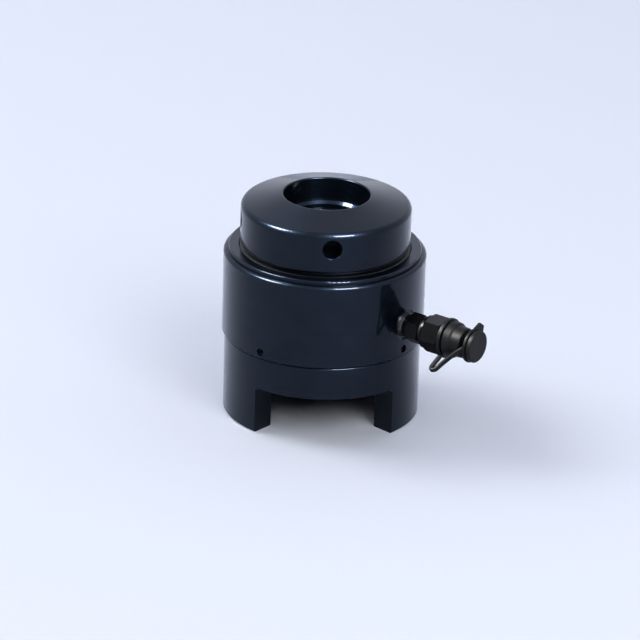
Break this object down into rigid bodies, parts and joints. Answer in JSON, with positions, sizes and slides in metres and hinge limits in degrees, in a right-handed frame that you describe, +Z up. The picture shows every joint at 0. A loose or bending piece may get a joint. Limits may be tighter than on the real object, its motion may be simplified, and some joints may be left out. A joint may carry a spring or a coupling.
{
  "type": "hydraulic bolt tensioner",
  "caption": "Ring-shaped hydraulic tool that stands over a nut, screws onto its stud and stretches it, with an open-fronted foot, a ported cylinder and a capped hose nipple.",
  "frame": {"origin": "on the stud's axis, in the plane that the bridge's foot stands on", "axes": "+Z up along the stud; -Y out of the bridge's window; the hose nipple points 38.2 degrees from +X towards -Y"},
  "size_m": [0.1912, 0.1699, 0.1692],
  "materials": {
    "black_steel": "blackened steel, semi-gloss",
    "piston_steel": "blackened alloy steel, oiled",
    "screw_steel": "black oxide",
    "coupler_steel": "black plated steel, satin",
    "washer_steel": "plated steel",
    "valve_steel": "stainless steel",
    "spring_steel": "drawn spring wire",
    "seal_polymer": "polyurethane",
    "backup_polymer": "hard polymer",
    "wiper_rubber": "black rubber",
    "cap_rubber": "moulded rubber, satin"
  },
  "bodies": {
    "bridge": {"bridge": "black_steel"},
    "cylinder": {"cylinder_body": "black_steel", "set_screws": "screw_steel", "stroke_stop_ring": "spring_steel", "piston_wiper": "wiper_rubber", "inner_seal": "seal_polymer", "inner_backup_ring": "backup_polymer", "port_seal_washer": "washer_steel", "port_adapter": "coupler_steel", "adapter_seal": "wiper_rubber", "coupler_nipple": "coupler_steel", "spring_retainer": "valve_steel", "valve_spring": "spring_steel", "lanyard_strap": "cap_rubber"},
    "piston": {"piston": "piston_steel", "piston_seal": "seal_polymer", "piston_backup_ring": "backup_polymer"},
    "puller": {"puller": "black_steel"},
    "poppet": {"valve_poppet": "valve_steel", "poppet_seal": "wiper_rubber"},
    "dust_cap": {"dust_cap": "cap_rubber"}
  },
  "joints": [
    {"name": "bridge_swivel", "type": "hinge", "parent": "bridge", "child": "cylinder", "pos_m": [0, 0, 0.0713], "axis": [0, 0, 1], "continuous": true},
    {"name": "piston_stroke", "type": "slide", "parent": "cylinder", "child": "piston", "axis": [0, 0, 1], "range_m": [0, 0.015]},
    {"name": "puller_spin", "type": "hinge", "parent": "piston", "child": "puller", "pos_m": [0, 0, 0.1313], "axis": [0, 0, 1], "continuous": true},
    {"name": "valve_push", "type": "slide", "parent": "cylinder", "child": "poppet", "axis": [-0.7859, 0.6184, 0], "range_m": [0, 0.0025], "stiffness_N_per_m": 800, "springref_m": -0.006, "deforming": ["valve_spring"]},
    {"name": "cap_pull", "type": "slide", "parent": "cylinder", "child": "dust_cap", "axis": [0.7859, -0.6184, 0], "range_m": [0, 0.018], "deforming": ["lanyard_strap"]}
  ]
}
